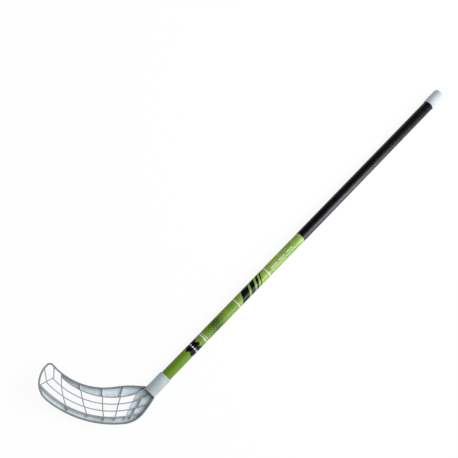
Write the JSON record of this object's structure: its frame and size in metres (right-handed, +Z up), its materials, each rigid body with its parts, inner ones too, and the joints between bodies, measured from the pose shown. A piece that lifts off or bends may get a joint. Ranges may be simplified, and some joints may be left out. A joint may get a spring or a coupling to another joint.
{
  "type": "floorball stick",
  "caption": "Floorball stick: straight round shaft with a printed film, smooth grip, end cap and a one-piece hooked lattice blade on a socket.",
  "frame": {"origin": "under the middle of the stick's box, on the surface that the stick lies on", "axes": "+X along the shaft from the blade to the end cap, +Y towards the blade's toe, +Z up out of the blade's hollow face"},
  "size_m": [0.9486, 0.1788, 0.0379],
  "materials": {
    "blade_plastic": "moulded pale blue-grey plastic with a soft satin sheen",
    "tube_composite": "bare dark composite tube",
    "film_print": "glossy lime green printed film with a dark and pale pattern",
    "grip_black": "smooth black grip with a soft sheen",
    "cap_plastic": "moulded white plastic",
    "screw_steel": "zinc-plated steel"
  },
  "bodies": {
    "root": {"blade": "blade_plastic", "shaft_tube": "tube_composite", "shaft_film": "film_print", "grip": "grip_black", "end_cap": "cap_plastic", "blade_screw": "screw_steel"}
  },
  "joints": []
}
